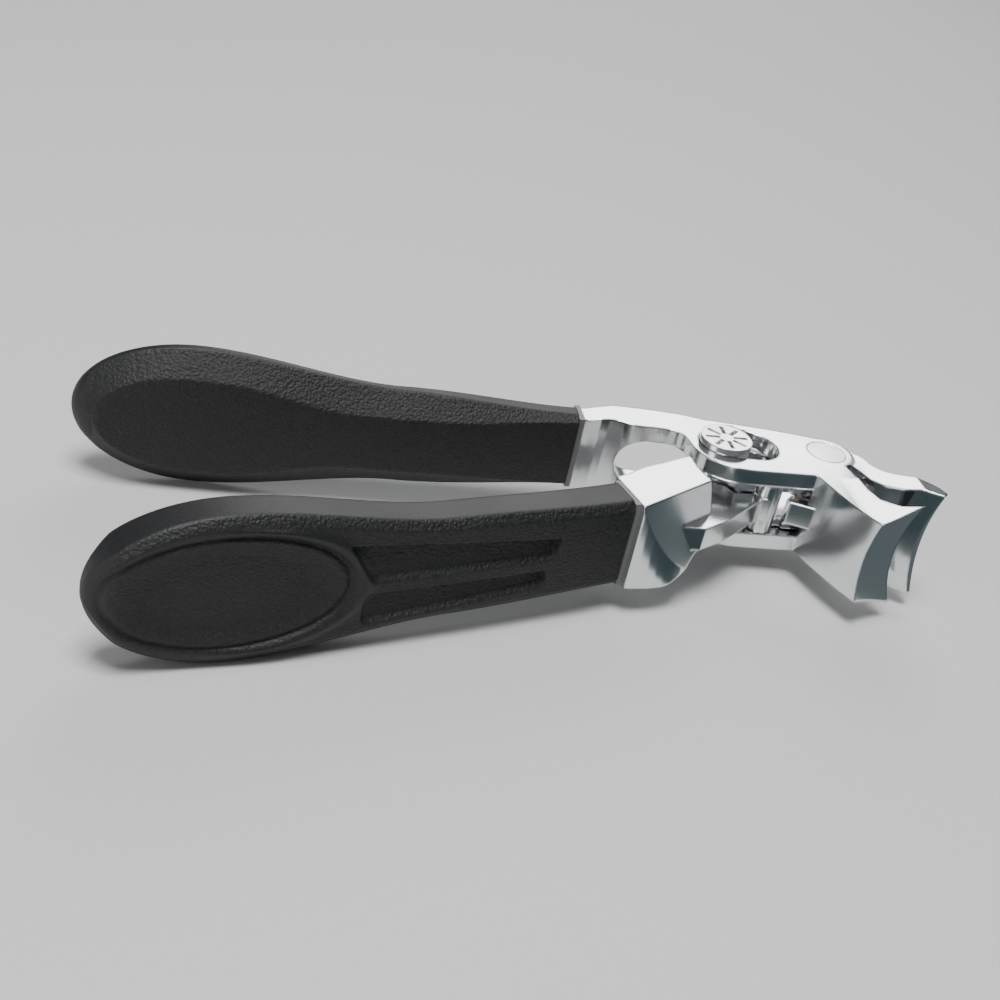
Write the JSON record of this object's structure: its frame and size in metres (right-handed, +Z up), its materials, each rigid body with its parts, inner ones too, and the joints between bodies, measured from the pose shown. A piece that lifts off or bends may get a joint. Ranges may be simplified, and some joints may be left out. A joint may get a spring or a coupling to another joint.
{
  "type": "nail clipper",
  "caption": "Plier-style nail clipper with wide concave jaws, a compound head with a sliding link rivet, and two long soft-grip handles that a hidden spring holds open.",
  "frame": {"origin": "below the centre of the open clipper's box, on the surface that it lies on", "axes": "+X along the rear handle towards the jaws, +Y from the front (thumb) handle to the rear (finger) handle, +Z up, parallel to every pivot"},
  "size_m": [0.1025, 0.041, 0.018],
  "materials": {
    "polished_steel": "mirror-polished cast stainless steel",
    "rivet_steel": "polished and staked steel",
    "spring_steel": "drawn spring wire",
    "washer_steel": "stamped, satin",
    "bush_brass": "turned",
    "soft_grip": "soft-touch, leather-grain faces with smooth sides",
    "hard_core": "moulded, matt"
  },
  "bodies": {
    "rear_handle": {"rear_lever": "polished_steel", "rear_grip_core": "hard_core", "rear_grip": "soft_grip", "jaw_rivet": "rivet_steel", "jaw_washers": "washer_steel", "spring_bush": "bush_brass", "return_spring": "spring_steel", "fulcrum_pin": "rivet_steel"},
    "cutting_jaw": {"rear_jaw": "polished_steel"},
    "front_handle": {"front_lever": "polished_steel", "front_grip_core": "hard_core", "front_grip": "soft_grip", "link_rivet": "rivet_steel", "link_washers": "washer_steel"}
  },
  "joints": [
    {"name": "handle_squeeze", "type": "hinge", "parent": "rear_handle", "child": "front_handle", "pos_m": [0.03161, 0.00629, 0.009], "axis": [0, 0, -1], "range_deg": [0, 18], "stiffness_Nm_per_rad": 0.35, "springref_deg": -17.19},
    {"name": "jaw_close", "type": "hinge", "parent": "rear_handle", "child": "cutting_jaw", "pos_m": [0.03982, 0.01079, 0.009], "axis": [0, 0, -1], "range_deg": [0, 16]}
  ],
  "couplings": [
    {"joint": "jaw_close", "follows": "handle_squeeze", "ratio": 0.88889}
  ]
}
